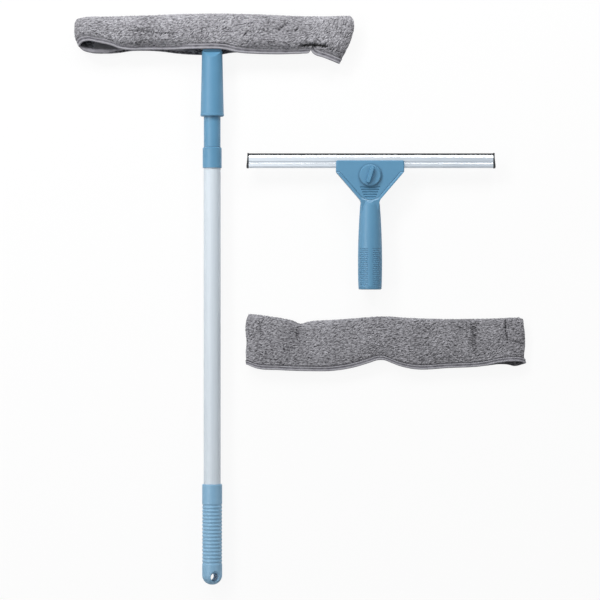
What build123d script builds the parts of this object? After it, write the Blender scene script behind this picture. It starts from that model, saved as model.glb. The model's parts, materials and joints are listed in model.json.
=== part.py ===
from build123d import *
import math
import os

# Where the items of the set lie: X to the right, Y up the pole, Z up from the surface
POLE_X = -106.0
POLE_BOTTOM_Y = -342.6
SQUEEGEE_X = 83.4
SQUEEGEE_BUTT_Y = 11.4
SPARE_X = -66.0
SPARE_TOP_Y = -18.0

# Gaps between pieces, and how far a groove's cutter runs out past the surface
PRESS_GAP = 0.02
RUN_GAP = 0.1
SEAT_GAP = 0.3
CLOTH_GAP = 0.4
GROOVE_PAST = 1.0

# Pole: outer tube, grip and collar
TUBE_R = 10.2
TUBE_WALL = 0.7
TUBE_EXPOSED = 379.2
GRIP_R = 12.0
GRIP_LENGTH = 120.6
GRIP_END_LENGTH = 22.0
GRIP_END_ROUND = 11.5
GRIP_GROOVES = 17
GRIP_GROOVE_PITCH = 4.3
GRIP_GROOVE_DEPTH = 0.7
GRIP_GROOVE_START = 26.4
GRIP_EDGE = 0.8
HANG_HOLE_R = 5.0
HANG_HOLE_RISE = 9.4
HANG_HOLE_TURN = 20.0
HANG_HOLE_FLARE = 2.6
COLLAR_R = 11.4
COLLAR_LENGTH = 24.8
COLLAR_OVERLAP = 18.0
COLLAR_EDGE = 1.2

# Pole: inner tube, twist lock and tip
INNER_R = 8.7
INNER_WALL = 0.6
LOCK_ROOM = 36.0
PLUG_LENGTH = 24.0
PLUG_FLANGE = 2.0
CAM_PIN_R = 4.0
CAM_OFFSET = 1.2
CAM_LENGTH = 14.0
CAM_SCREW_R = 1.5
CAM_SCREW_LENGTH = 10.0
CAM_HEAD_R = 6.0
CAM_HEAD_HEIGHT = 2.0
TIP_R = 10.0
TIP_END_R = 9.3
TIP_EXPOSED = 37.0
TIP_INSERT = 62.0
TIP_CAP = 4.0
TIP_EDGE = 1.5

# Washer: socket and bar
SOCKET_RIM_R = 14.2
SOCKET_TOP_R = 12.4
SOCKET_LENGTH = 78.0
SOCKET_DEPTH = 66.0
SOCKET_LIP = 3.0
SOCKET_LIP_STEP = 0.3
SOCKET_EDGE = 0.9
SOCKET_SLOPE = 7.0
NECK_WIDTH = 22.0
NECK_THICK = 13.0
NECK_LENGTH = 12.0
BAR_LENGTH = 300.0
BAR_HEIGHT = 24.0
BAR_THICK = 14.0
BAR_CORNER_R = 8.0
BAR_SLOTS = 4
BAR_SLOT_LENGTH = 24.0
BAR_SLOT_HEIGHT = 10.0
BAR_SLOT_PITCH = 32.0
BAR_SLOT_START = 34.0

# Sleeve on the washer, in stations along X from the neck's centre:
# place, drop of the fold from the highest point, height, half thickness, half thickness of the hem
WASHER_FOLD_RISE = 9.0
WASHER_STATIONS = [
    (-164.8, 13.2, 18.0, 6.0, 4.0),
    (-154.0, 5.2, 38.6, 10.5, 7.0),
    (-128.8, 2.6, 44.8, 13.6, 7.5),
    (-80.8, 1.8, 42.0, 13.6, 7.0),
    (-20.0, 0.0, 43.0, 13.6, 10.0),
    (14.0, 0.0, 43.6, 13.6, 11.0),
    (27.2, 0.0, 46.8, 13.6, 9.0),
    (75.2, 1.2, 46.8, 13.6, 6.5),
    (113.6, 3.0, 44.0, 13.6, 6.0),
    (135.2, 3.0, 49.8, 13.0, 5.0),
    (151.4, 2.6, 56.8, 11.5, 4.0),
    (159.2, 2.4, 43.2, 8.5, 4.0),
    (166.4, 3.6, 25.2, 6.0, 3.5),
    (169.4, 7.2, 12.0, 4.0, 3.0),
]
WASHER_BINDING_ENDS = (1, 10)
WASHER_STRIP = (-142.0, -32.0)

# Spare sleeve, in stations along X from its left end
SPARE_STATIONS = [
    (0.0, 4.8, 52.8, 4.0, 3.0),
    (3.6, 0.0, 61.2, 5.5, 4.0),
    (20.0, 1.8, 63.0, 6.5, 4.5),
    (55.8, 7.8, 60.0, 6.5, 4.5),
    (77.0, 9.0, 59.4, 6.5, 4.5),
    (107.4, 6.8, 61.0, 6.5, 4.5),
    (131.4, 5.0, 58.6, 6.5, 4.5),
    (162.6, 3.2, 52.0, 6.5, 4.5),
    (187.8, 4.0, 59.6, 6.5, 4.5),
    (199.8, 4.8, 61.8, 6.5, 4.5),
    (245.4, 6.0, 59.4, 6.5, 4.5),
    (289.8, 5.4, 58.2, 6.5, 4.5),
    (312.6, 4.8, 56.6, 6.5, 4.5),
    (325.8, 4.3, 58.6, 6.0, 4.5),
    (333.0, 6.0, 54.6, 5.0, 4.0),
    (336.0, 14.0, 42.0, 4.0, 3.0),
]
SPARE_BINDING_ENDS = (1, 13)
SPARE_STRIP = (206.0, 316.0)

# Hem of both sleeves: sewn binding and hook and loop strips
BINDING_HEIGHT = 6.0
STRIP_HEIGHT = 8.0
STRIP_THICK = 1.2
STRIP_RISE = 2.6

# Squeegee: handle
BULGE_R = 14.5
BULGE_Y = 32.0
SIDE_ARC_R = 900.0
NECK_Y = 101.6
NECK_END_Y = 118.0
NECK_END_R = 8.0
HANDLE_BORE_DEPTH = 66.0
BUTT_EDGE = 1.2
BUTT_BAND = 2.8
BUTT_GROOVE = 0.8
BUTT_GROOVE_DEPTH = 0.4
PANEL_START = 4.0
PANEL_GROOVES = 19
PANEL_PITCH = 2.4
PANEL_GROOVE_WIDTH = 1.3
PANEL_GROOVE_DEPTH = 0.5
PANEL_FROM_FRONT = 12.0
PANEL_ARC = 48.0

# Squeegee: head
HEAD_TOP_Y = 154.6
HEAD_HALF_WIDTH = 40.8
HEAD_SIDE_Y = 141.0
HEAD_SHOULDER_Y = 107.0
HEAD_SHOULDER_HALF = 11.6
HEAD_BASE_Y = 92.0
HEAD_BASE_HALF = 9.0
HEAD_CORNER_R = 2.5
SHOULDER_ROUND = 9.0
RIM_WIDTH = 3.4
RIM_TOP = 10.0
POCKET_FLOOR = 3.4
POCKET_TIP_Y = 107.4
POCKET_TIP_ROUND = 18.0
POCKET_BEVEL = 60.0
BACK_WALL = 2.6
BACK_FLOOR = 3.0
BACK_CORE_Y = 120.0
BACK_RIB = 2.2
BOSS_R = 8.0
BOSS_SHORT = 1.2

# Squeegee: clamp
JAW_FRONT = 9.0
JAW_EDGE = 1.0
JAW_RIBS = 5
JAW_RIB_START = 3.2
JAW_RIB_PITCH = 3.0
JAW_RIB_WIDTH = 1.8
JAW_RIB_DEPTH = 0.8
JAW_RIB_MARGIN = 3.0
SCREW_Y = 136.8
SCREW_R = 2.5
SCREW_HEAD_R = 4.2
SCREW_HEAD_HEIGHT = 2.0
SCREW_PAST_NUT = 0.6
NUT_ACROSS_FLATS = 8.0
NUT_HEIGHT = 4.0
KNOB_R = 13.0
KNOB_DISC = 3.2
KNOB_DISC_EDGE = 1.1
KNOB_WING_LENGTH = 22.0
KNOB_WING_WIDTH = 7.0
KNOB_WING_TOP_WIDTH = 3.4
KNOB_WING_HEIGHT = 5.4
KNOB_TURN = -17.0

# Squeegee: blade channel, rubber and end caps
CHANNEL_LENGTH = 293.4
CHANNEL_SHIFT = 1.1
CHANNEL_SEAT_Y = 145.8
CHANNEL_HEIGHT = 15.4
CHANNEL_HALF = 3.5
CHANNEL_FOOT_ROUND = 1.8
CHANNEL_GROOVE_Y = 4.6
CHANNEL_GROOVE_HEIGHT = 3.7
CHANNEL_GROOVE_FLANK = 1.3
CHANNEL_GROOVE_DEPTH = 0.9
CHANNEL_SLOPE_Y = 12.6
CHANNEL_LIP_HALF = 1.8
CAVITY_HALF = 1.8
CAVITY_FLOOR = 2.4
CAVITY_TOP = 12.0
MOUTH_HALF = 0.95
RUBBER_BEAD_HEIGHT = 4.0
RUBBER_PROUD = 2.1
CAP_THICK = 1.5
CAP_FLARE = 1.2
CAP_OVERHANG = 0.4
CAP_TONGUE_LENGTH = 10.0
CAP_TONGUE_HEIGHT = 4.6

# Places that follow from the sizes above
LIE_Z = SOCKET_RIM_R
GRIP_TOP_Y = POLE_BOTTOM_Y + GRIP_LENGTH
TUBE_BOTTOM_Y = POLE_BOTTOM_Y + GRIP_END_LENGTH
COLLAR_BOTTOM_Y = GRIP_TOP_Y + TUBE_EXPOSED
COLLAR_TOP_Y = COLLAR_BOTTOM_Y + COLLAR_LENGTH
TUBE_TOP_Y = COLLAR_BOTTOM_Y + COLLAR_OVERLAP
TUBE_BORE_R = TUBE_R - TUBE_WALL
INNER_BOTTOM_Y = TUBE_BOTTOM_Y + LOCK_ROOM
FLANGE_BOTTOM_Y = INNER_BOTTOM_Y - PLUG_FLANGE
PIN_BOTTOM_Y = FLANGE_BOTTOM_Y - CAM_LENGTH - 2 * SEAT_GAP
TIP_BOTTOM_Y = COLLAR_TOP_Y + SEAT_GAP
SOCKET_RIM_Y = COLLAR_TOP_Y + TIP_EXPOSED
TIP_TOP_Y = SOCKET_RIM_Y + TIP_INSERT
INNER_TOP_Y = TIP_TOP_Y - TIP_CAP - SEAT_GAP
SOCKET_TOP_Y = SOCKET_RIM_Y + SOCKET_LENGTH
SOCKET_BORE_R = TIP_R + RUN_GAP
BAR_BOTTOM_Y = SOCKET_TOP_Y + NECK_LENGTH
BAR_MIDDLE_Y = BAR_BOTTOM_Y + BAR_HEIGHT / 2
BAR_TOP_Y = BAR_BOTTOM_Y + BAR_HEIGHT
HANDLE_AXIS_Z = BULGE_R
HEAD_BACK = -BULGE_R
SLOT_Y = CHANNEL_SEAT_Y - SEAT_GAP
SLOT_BACK = -CHANNEL_HALF - RUN_GAP
CORE_TOP = SLOT_BACK - BACK_FLOOR
BOSS_BACK = HEAD_BACK + BOSS_SHORT
NUT_BACK = BOSS_BACK + SEAT_GAP
JAW_BACK = CHANNEL_HALF + SEAT_GAP
KNOB_BACK = JAW_FRONT + SEAT_GAP
KNOB_FACE = KNOB_BACK + KNOB_DISC
SCREW_HEAD_BACK = KNOB_BACK + (KNOB_DISC - SCREW_HEAD_HEIGHT) / 2


def v_notch(radius, y, depth, width, past):
    """Half section of a V groove in a round side: straight flanks that run out past the surface."""
    deep = radius - depth
    half = width / 2 * (depth + past) / depth
    return [(deep, y), (radius + past, y + half), (radius + past, y - half)]


def turned(corners):
    """Solid of revolution about Y from its (radius, y) corners."""
    return revolve(make_face(Polyline(*corners, close=True)), Axis.Y)


def post(radius, y_low, y_high, x=0.0):
    """Cylinder that stands along Y."""
    upright = Pos(x, y_low, 0) * Rot(-90, 0, 0)
    return upright * Cylinder(radius, y_high - y_low, align=(Align.CENTER, Align.CENTER, Align.MIN))


def stud(radius, z_low, z_high, y=0.0):
    """Cylinder that stands along Z."""
    return Pos(0, y, z_low) * Cylinder(radius, z_high - z_low, align=(Align.CENTER, Align.CENTER, Align.MIN))


def block(x_low, x_high, y_low, y_high, z_low, z_high):
    """Box between two corners."""
    size = (x_high - x_low, y_high - y_low, z_high - z_low)
    return Pos(x_low, y_low, z_low) * Box(*size, align=(Align.MIN, Align.MIN, Align.MIN))


def strip_face(half_width, y_low, y_high):
    """Flat rectangle centred on the Y axis."""
    return Pos(0, (y_low + y_high) / 2) * Rectangle(2 * half_width, y_high - y_low)


def raised(face, z_low, z_high):
    """Flat face of the XY plane, pulled up from z_low to z_high."""
    return extrude(Pos(0, 0, z_low) * face, z_high - z_low, dir=(0, 0, 1))


def along_x(corners, x_low, x_high):
    """Prism along X from its (y, z) corners."""
    across = Plane(origin=(x_low, 0, 0), x_dir=(0, 1, 0), z_dir=(1, 0, 0))
    return extrude(across * make_face(Polyline(*corners, close=True)), x_high - x_low)


# Pole


def outer_tube():
    return post(TUBE_R, TUBE_BOTTOM_Y, TUBE_TOP_Y) - post(TUBE_BORE_R, TUBE_BOTTOM_Y, TUBE_TOP_Y)


def pole_grip():
    """Moulded grip: rounded end, rings of grooves, bore for the tube and a hole to hang it by."""
    outline = make_face(Polyline(
        (0, POLE_BOTTOM_Y), (GRIP_R, POLE_BOTTOM_Y), (GRIP_R, GRIP_TOP_Y), (0, GRIP_TOP_Y), close=True))
    end_corner = outline.vertices().sort_by(Axis.X)[-2:].sort_by(Axis.Y)[0]
    outline = fillet(end_corner, GRIP_END_ROUND)
    top_corner = outline.vertices().group_by(Axis.Y)[-1].sort_by(Axis.X)[-1]
    outline = chamfer(top_corner, GRIP_EDGE)
    body = revolve(outline, Axis.Y)
    body -= post(TUBE_R + PRESS_GAP, TUBE_BOTTOM_Y, GRIP_TOP_Y)
    grooves = [grip_groove(POLE_BOTTOM_Y + GRIP_GROOVE_START + GRIP_GROOVE_PITCH * i)
               for i in range(GRIP_GROOVES)]
    return body - grooves - hang_hole()


def grip_groove(y):
    """Ring with a V section that cuts one groove, as wide as the pitch so that the ribs meet the next."""
    return turned(v_notch(GRIP_R, y, GRIP_GROOVE_DEPTH, GRIP_GROOVE_PITCH, GROOVE_PAST))


def hang_hole():
    """Through hole with flared mouths, turned about the pole."""
    hole = stud(HANG_HOLE_R, -2 * GRIP_R, 2 * GRIP_R)
    mouth = Pos(0, 0, GRIP_R - HANG_HOLE_FLARE / 2) * Cone(
        HANG_HOLE_R, HANG_HOLE_R + HANG_HOLE_FLARE, HANG_HOLE_FLARE)
    hole = hole + mouth + mirror(mouth, Plane.XY)
    return Pos(0, POLE_BOTTOM_Y + HANG_HOLE_RISE, 0) * Rot(0, HANG_HOLE_TURN, 0) * hole


def tube_collar():
    """Guide bush: wide bore over the outer tube, narrow bore that the inner tube slides in."""
    wide, narrow = TUBE_R + PRESS_GAP, INNER_R + RUN_GAP
    return turned([(wide, COLLAR_BOTTOM_Y), (COLLAR_R, COLLAR_BOTTOM_Y),
                   (COLLAR_R, COLLAR_TOP_Y - COLLAR_EDGE), (COLLAR_R - COLLAR_EDGE, COLLAR_TOP_Y),
                   (narrow, COLLAR_TOP_Y), (narrow, TUBE_TOP_Y + PRESS_GAP),
                   (wide, TUBE_TOP_Y + PRESS_GAP)])


def inner_tube():
    bore = INNER_R - INNER_WALL
    return post(INNER_R, INNER_BOTTOM_Y, INNER_TOP_Y) - post(bore, INNER_BOTTOM_Y, INNER_TOP_Y)


def lock_plug():
    """Plug in the inner tube's end, with the eccentric pin that the cam sits on."""
    core = post(INNER_R - INNER_WALL - PRESS_GAP, INNER_BOTTOM_Y, INNER_BOTTOM_Y + PLUG_LENGTH)
    flange = post(INNER_R, FLANGE_BOTTOM_Y, INNER_BOTTOM_Y)
    pin = post(CAM_PIN_R, PIN_BOTTOM_Y, FLANGE_BOTTOM_Y, x=CAM_OFFSET)
    screw_hole = post(CAM_SCREW_R + PRESS_GAP, PIN_BOTTOM_Y, PIN_BOTTOM_Y + CAM_SCREW_LENGTH, x=CAM_OFFSET)
    return core + flange + pin - screw_hole


def lock_cam():
    """Ring that the eccentric pin drives against the tube's bore."""
    low, high = PIN_BOTTOM_Y + SEAT_GAP, FLANGE_BOTTOM_Y - SEAT_GAP
    hole = post(CAM_PIN_R + CLOTH_GAP, low, high, x=CAM_OFFSET)
    return post(TUBE_BORE_R - RUN_GAP, low, high) - hole


def cam_screw():
    """Screw that keeps the cam on its pin."""
    head_top = PIN_BOTTOM_Y - PRESS_GAP
    head = post(CAM_HEAD_R, head_top - CAM_HEAD_HEIGHT, head_top, x=CAM_OFFSET)
    shank = post(CAM_SCREW_R, head_top, PIN_BOTTOM_Y + CAM_SCREW_LENGTH - SEAT_GAP, x=CAM_OFFSET)
    return head + shank


def pole_tip():
    """Tapered end piece over the inner tube, which the tools' sockets push on to."""
    body = turned([(0, TIP_BOTTOM_Y), (TIP_R, TIP_BOTTOM_Y), (TIP_R, SOCKET_RIM_Y),
                   (TIP_END_R, TIP_TOP_Y - TIP_EDGE), (TIP_END_R - TIP_EDGE, TIP_TOP_Y), (0, TIP_TOP_Y)])
    return body - post(INNER_R + PRESS_GAP, TIP_BOTTOM_Y, TIP_TOP_Y - TIP_CAP)


# Washer


def bar_face(grow=0.0):
    """Outline of the bar, with rounded corners."""
    face = RectangleRounded(BAR_LENGTH + 2 * grow, BAR_HEIGHT + 2 * grow, BAR_CORNER_R + grow)
    return Pos(0, BAR_MIDDLE_Y) * face


def washer_bar():
    """T-bar: slotted bar, flat neck and tapered socket."""
    bar = raised(bar_face(), -BAR_THICK / 2, BAR_THICK / 2)
    slot = Rectangle(BAR_SLOT_LENGTH, BAR_SLOT_HEIGHT)
    for side in (-1, 1):
        for i in range(BAR_SLOTS):
            x = side * (BAR_SLOT_START + BAR_SLOT_PITCH * i)
            bar -= raised(Pos(x, BAR_MIDDLE_Y) * slot, -BAR_THICK, BAR_THICK)
    half_wide, half_thick = NECK_WIDTH / 2, NECK_THICK / 2
    neck_low = SOCKET_RIM_Y + SOCKET_DEPTH + SEAT_GAP
    neck = block(-half_wide, half_wide, neck_low, BAR_MIDDLE_Y - BAR_SLOT_HEIGHT, -half_thick, half_thick)
    return socket() + neck + bar


def socket():
    """Tapered socket with a lip at its rim, and a shoulder that slopes to the flat neck."""
    lip_r = SOCKET_RIM_R - SOCKET_LIP_STEP
    body = turned([(0, SOCKET_RIM_Y), (SOCKET_RIM_R - SOCKET_EDGE, SOCKET_RIM_Y),
                   (SOCKET_RIM_R, SOCKET_RIM_Y + SOCKET_EDGE),
                   (SOCKET_RIM_R, SOCKET_RIM_Y + SOCKET_LIP - SOCKET_LIP_STEP),
                   (lip_r, SOCKET_RIM_Y + SOCKET_LIP),
                   (SOCKET_TOP_R, SOCKET_TOP_Y - SOCKET_SLOPE), (SOCKET_TOP_R, SOCKET_TOP_Y),
                   (0, SOCKET_TOP_Y)])
    slope_y = SOCKET_TOP_Y - SOCKET_SLOPE
    wedge = along_x([(slope_y, SOCKET_TOP_R), (SOCKET_TOP_Y, NECK_THICK / 2),
                     (SOCKET_TOP_Y, SOCKET_RIM_R), (slope_y, SOCKET_RIM_R)], -SOCKET_RIM_R, SOCKET_RIM_R)
    body -= [wedge, mirror(wedge, Plane.XY)]
    return body - post(SOCKET_BORE_R, SOCKET_RIM_Y, SOCKET_RIM_Y + SOCKET_DEPTH)


# Sleeves


def panel_section(x, fold, low, half, lip):
    """Half section of a folded sleeve at one station: round fold above, taper down to the hem."""
    gap = CLOTH_GAP / 2
    across = Plane(origin=(x, 0, 0), x_dir=(0, 1, 0), z_dir=(1, 0, 0))
    crown = half - gap
    bend = math.sqrt(0.5)
    top, side = (fold, gap), (fold - crown, half)
    middle = (fold - crown * (1 - bend), gap + crown * bend)
    edges = [ThreePointArc(top, middle, side), Line(side, (low, lip)), Line((low, lip), (low, gap)),
             Line((low, gap), top)]
    return across * make_face(edges)


def band_section(x, low, high, lip):
    """Half section of the binding at one station."""
    gap = CLOTH_GAP / 2
    across = Plane(origin=(x, 0, 0), x_dir=(0, 1, 0), z_dir=(1, 0, 0))
    return across * make_face(Polyline((low, gap), (high, gap), (high, lip), (low, lip), close=True))


def sleeve(stations, fold_y, binding_ends, strip_ends):
    """Front half of a sleeve about its middle plane: cloth, binding and fastening strip."""
    first, last = binding_ends
    cloth, binding = [], []
    for i, (x, drop, height, half, lip) in enumerate(stations):
        fold = fold_y - drop
        hem = fold - height
        bound = first <= i <= last
        seam = hem + BINDING_HEIGHT
        cloth.append(panel_section(x, fold, seam if bound else hem + SEAT_GAP, half, lip))
        if bound:
            binding.append(band_section(x, hem, seam - SEAT_GAP, lip))
    hems = [fold_y - drop - height for x, drop, height, half, lip in stations
            if strip_ends[0] < x < strip_ends[1]]
    strip_y = max(hems) + STRIP_RISE
    gap = CLOTH_GAP / 2
    tape = block(*strip_ends, strip_y, strip_y + STRIP_HEIGHT, gap, gap + STRIP_THICK)
    room = block(strip_ends[0] - SEAT_GAP, strip_ends[1] + SEAT_GAP, strip_y - SEAT_GAP,
                 strip_y + STRIP_HEIGHT + SEAT_GAP, 0, gap + STRIP_THICK + SEAT_GAP)
    return loft(cloth, ruled=True) - room, loft(binding, ruled=True) - room, tape


def sleeve_nodes(name, pieces, place):
    """Front and back pieces of one sleeve, put in place: the back mirrors the front."""
    cloth, binding, tape = pieces
    return {
        name + "_front_cloth": place * cloth,
        name + "_back_cloth": place * mirror(cloth, Plane.XY),
        name + "_front_binding": place * binding,
        name + "_back_binding": place * mirror(binding, Plane.XY),
        name + "_loop_strip": place * tape,
        name + "_hook_strip": place * mirror(tape, Plane.XY),
    }


def washer_sleeve():
    """Sleeve on the washer, with room for the bar and its neck inside."""
    cloth, binding, tape = sleeve(
        WASHER_STATIONS, BAR_TOP_Y + WASHER_FOLD_RISE, WASHER_BINDING_ENDS, WASHER_STRIP)
    half_wide = NECK_WIDTH / 2 + CLOTH_GAP
    half_thick = NECK_THICK / 2 + CLOTH_GAP
    inside = raised(bar_face(CLOTH_GAP), 0, BAR_THICK / 2 + CLOTH_GAP)
    inside += block(-half_wide, half_wide, SOCKET_TOP_Y, BAR_MIDDLE_Y, 0, half_thick)
    reach = SOCKET_TOP_R + CLOTH_GAP
    shoulder_top = SOCKET_TOP_Y + CLOTH_GAP
    inside += along_x([(SOCKET_TOP_Y - SOCKET_SLOPE, 0), (SOCKET_TOP_Y - SOCKET_SLOPE, reach),
                       (shoulder_top, half_thick), (shoulder_top, 0)], -reach, reach)
    return cloth - inside, binding - inside, tape


# Squeegee


def handle_radius(y):
    """Radius of the handle's side, one long arc, at a height above the butt."""
    return BULGE_R - SIDE_ARC_R + math.sqrt(SIDE_ARC_R ** 2 - (y - BULGE_Y) ** 2)


def head_outline():
    """Front outline of the handle's head, from the neck to the wide top."""
    right = [(HEAD_BASE_HALF, HEAD_BASE_Y), (HEAD_SHOULDER_HALF, HEAD_SHOULDER_Y),
             (HEAD_HALF_WIDTH, HEAD_SIDE_Y), (HEAD_HALF_WIDTH, HEAD_TOP_Y)]
    left = [(-x, y) for x, y in reversed(right)]
    face = make_face(Polyline(*right, *left, close=True))
    wide = [v for v in face.vertices() if v.Y > HEAD_SIDE_Y - SEAT_GAP]
    face = fillet(wide, HEAD_CORNER_R)
    shoulders = [v for v in face.vertices() if abs(v.Y - HEAD_SHOULDER_Y) < SEAT_GAP]
    return fillet(shoulders, SHOULDER_ROUND)


def jaw_face(gap):
    """Outline of the front jaw: full width along the top, a tongue between the rims below."""
    tongue = offset(head_outline(), -RIM_WIDTH - gap, kind=Kind.INTERSECTION)
    tip = POCKET_TIP_Y + gap
    foot = Pos(0, tip + POCKET_TIP_ROUND) * Circle(POCKET_TIP_ROUND)
    tongue &= foot + strip_face(HEAD_HALF_WIDTH, tip + POCKET_TIP_ROUND / 3, HEAD_SIDE_Y + BACK_WALL)
    band = head_outline() & strip_face(2 * HEAD_HALF_WIDTH, HEAD_SIDE_Y + gap, HEAD_TOP_Y)
    return tongue + band


def squeegee_handle():
    """Handle and head in one moulding, open at the back, with a seat for the channel."""
    body = handle_shaft() + squeegee_head()
    body -= raised(jaw_face(0), POCKET_FLOOR, BULGE_R)
    body -= extrude(Pos(0, 0, JAW_FRONT) * jaw_face(0), BULGE_R - JAW_FRONT, taper=-POCKET_BEVEL)
    body -= post(SOCKET_BORE_R, 0, HANDLE_BORE_DEPTH)
    body -= handle_grooves()
    body -= stud(SCREW_R + SEAT_GAP, HEAD_BACK, RIM_TOP, y=SCREW_Y)
    return body - raised(nut_face(SEAT_GAP / 2), HEAD_BACK, NUT_BACK + NUT_HEIGHT + SEAT_GAP / 2)


def handle_shaft():
    """Round shaft with a band at the butt."""
    butt, neck = handle_radius(BUTT_EDGE), handle_radius(NECK_Y)
    side = ThreePointArc((butt, BUTT_EDGE), (BULGE_R, BULGE_Y), (neck, NECK_Y))
    rest = Polyline((neck, NECK_Y), (NECK_END_R, NECK_END_Y), (0, NECK_END_Y), (0, 0), (butt - BUTT_EDGE, 0),
                    (butt, BUTT_EDGE))
    shaft = revolve(make_face([*side.edges(), *rest.edges()]), Axis.Y)
    band = v_notch(handle_radius(BUTT_BAND), BUTT_BAND, BUTT_GROOVE_DEPTH, BUTT_GROOVE, GROOVE_PAST)
    return shaft - turned(band)


def handle_grooves():
    """Four panels of short grooves round the lower handle."""
    grooves = []
    for i in range(PANEL_GROOVES):
        y = PANEL_START + PANEL_PITCH * (i + 0.5)
        notch = v_notch(handle_radius(y), y, PANEL_GROOVE_DEPTH, PANEL_GROOVE_WIDTH, GROOVE_PAST)
        ring = revolve(make_face(Polyline(*notch, close=True)), Axis.Y, PANEL_ARC)
        for start in (PANEL_FROM_FRONT, 180 - PANEL_FROM_FRONT - PANEL_ARC):
            groove = Rot(0, start - 90, 0) * ring
            grooves += [groove, mirror(groove, Plane.YZ)]
    return grooves


def squeegee_head():
    """Head plate: seat for the channel, pocket for the jaw, cored back with a boss for the nut."""
    head = raised(head_outline(), HEAD_BACK, RIM_TOP)
    side = [(HEAD_BASE_Y, -NECK_END_R), (HEAD_SHOULDER_Y + BACK_WALL, HEAD_BACK), (HEAD_TOP_Y, HEAD_BACK),
            (HEAD_TOP_Y, RIM_TOP), (HEAD_SHOULDER_Y, RIM_TOP), (HEAD_BASE_Y, NECK_END_R)]
    head &= along_x(side, -HEAD_HALF_WIDTH, HEAD_HALF_WIDTH)
    head -= block(-HEAD_HALF_WIDTH, HEAD_HALF_WIDTH, SLOT_Y, HEAD_TOP_Y, SLOT_BACK, RIM_TOP)
    return head - back_core()


def back_core():
    """Hollow of the head's back, round the boss and its ribs."""
    core = offset(head_outline(), -BACK_WALL, kind=Kind.INTERSECTION)
    core &= strip_face(HEAD_HALF_WIDTH, BACK_CORE_Y, HEAD_TOP_Y)
    core -= Pos(0, SCREW_Y) * Circle(BOSS_R)
    core -= strip_face(BACK_RIB / 2, BACK_CORE_Y, HEAD_TOP_Y)
    core -= strip_face(HEAD_HALF_WIDTH, SCREW_Y - BACK_RIB / 2, SCREW_Y + BACK_RIB / 2)
    boss_end = raised(Pos(0, SCREW_Y) * Circle(BOSS_R), HEAD_BACK, BOSS_BACK)
    return [raised(core, HEAD_BACK, CORE_TOP), boss_end]


def nut_face(gap=0.0):
    """Hexagon of the nut."""
    corner_r = (NUT_ACROSS_FLATS / 2 + gap) / math.cos(math.pi / 6)
    return Pos(0, SCREW_Y) * RegularPolygon(corner_r, 6)


def front_jaw():
    """Clamping jaw: ridge for the channel's groove, hole for the screw, grip ribs at its foot."""
    jaw = raised(jaw_face(SEAT_GAP), JAW_BACK, JAW_FRONT)
    top_edge = jaw.faces().sort_by(Axis.Y)[-1].edges().sort_by(Axis.Z)[-1]
    jaw = chamfer(top_edge, JAW_EDGE)
    jaw += jaw_ridge()
    jaw -= stud(SCREW_R + SEAT_GAP, 0, RIM_TOP, y=SCREW_Y)
    return jaw - jaw_grooves()


def jaw_ridge():
    """Ridge along the jaw's back that sits in the channel's groove."""
    middle = CHANNEL_SEAT_Y + CHANNEL_GROOVE_Y + CHANNEL_GROOVE_HEIGHT / 2
    foot = CHANNEL_GROOVE_HEIGHT / 2 - SEAT_GAP
    tip = foot - CHANNEL_GROOVE_FLANK
    deep = CHANNEL_HALF - CHANNEL_GROOVE_DEPTH + SEAT_GAP
    half_width = HEAD_HALF_WIDTH - JAW_EDGE
    return along_x([(middle - foot, JAW_BACK), (middle - tip, deep), (middle + tip, deep),
                    (middle + foot, JAW_BACK), (middle + foot, JAW_BACK + JAW_EDGE),
                    (middle - foot, JAW_BACK + JAW_EDGE)], -half_width, half_width)


def jaw_grooves():
    """Short grooves across the jaw's foot, wider as the jaw widens."""
    grooves = []
    slope = (HEAD_HALF_WIDTH - HEAD_SHOULDER_HALF) / (HEAD_SIDE_Y - HEAD_SHOULDER_Y)
    half = JAW_RIB_WIDTH / 2
    for i in range(JAW_RIBS):
        y = POCKET_TIP_Y + JAW_RIB_START + JAW_RIB_PITCH * i
        reach = HEAD_SHOULDER_HALF - RIM_WIDTH - JAW_RIB_MARGIN + slope * max(0, y - HEAD_SHOULDER_Y) / 2
        grooves.append(along_x([(y - half, JAW_FRONT), (y, JAW_FRONT - JAW_RIB_DEPTH), (y + half, JAW_FRONT)],
                               -reach, reach))
    return grooves


def clamp_knob():
    """Round knob with a tapered wing, moulded over the screw's head."""
    disc = stud(KNOB_R, KNOB_BACK, KNOB_FACE)
    disc = chamfer(disc.edges().group_by(Axis.Z)[-1], KNOB_DISC_EDGE)
    foot = SlotOverall(KNOB_WING_LENGTH, KNOB_WING_WIDTH)
    top = SlotOverall(KNOB_WING_LENGTH - KNOB_WING_WIDTH + KNOB_WING_TOP_WIDTH, KNOB_WING_TOP_WIDTH)
    wing = loft([Pos(0, 0, KNOB_FACE - KNOB_DISC_EDGE) * foot, Pos(0, 0, KNOB_FACE + KNOB_WING_HEIGHT) * top])
    knob = disc + Rot(0, 0, 90 + KNOB_TURN) * wing
    knob -= stud(SCREW_R + PRESS_GAP, KNOB_BACK, SCREW_HEAD_BACK)
    return Pos(0, SCREW_Y, 0) * (knob - screw_head(PRESS_GAP))


def screw_head(gap=0.0):
    """Hexagon head of the clamp screw, inside the knob."""
    face = RegularPolygon(SCREW_HEAD_R + gap, 6)
    return raised(face, SCREW_HEAD_BACK - gap, SCREW_HEAD_BACK + SCREW_HEAD_HEIGHT + gap)


def clamp_screw():
    shank = stud(SCREW_R, NUT_BACK - SCREW_PAST_NUT, SCREW_HEAD_BACK)
    return Pos(0, SCREW_Y, 0) * (shank + screw_head())


def clamp_nut():
    nut = raised(nut_face(), NUT_BACK, NUT_BACK + NUT_HEIGHT)
    return nut - stud(SCREW_R + RUN_GAP / 2, NUT_BACK, NUT_BACK + NUT_HEIGHT, y=SCREW_Y)


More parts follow.
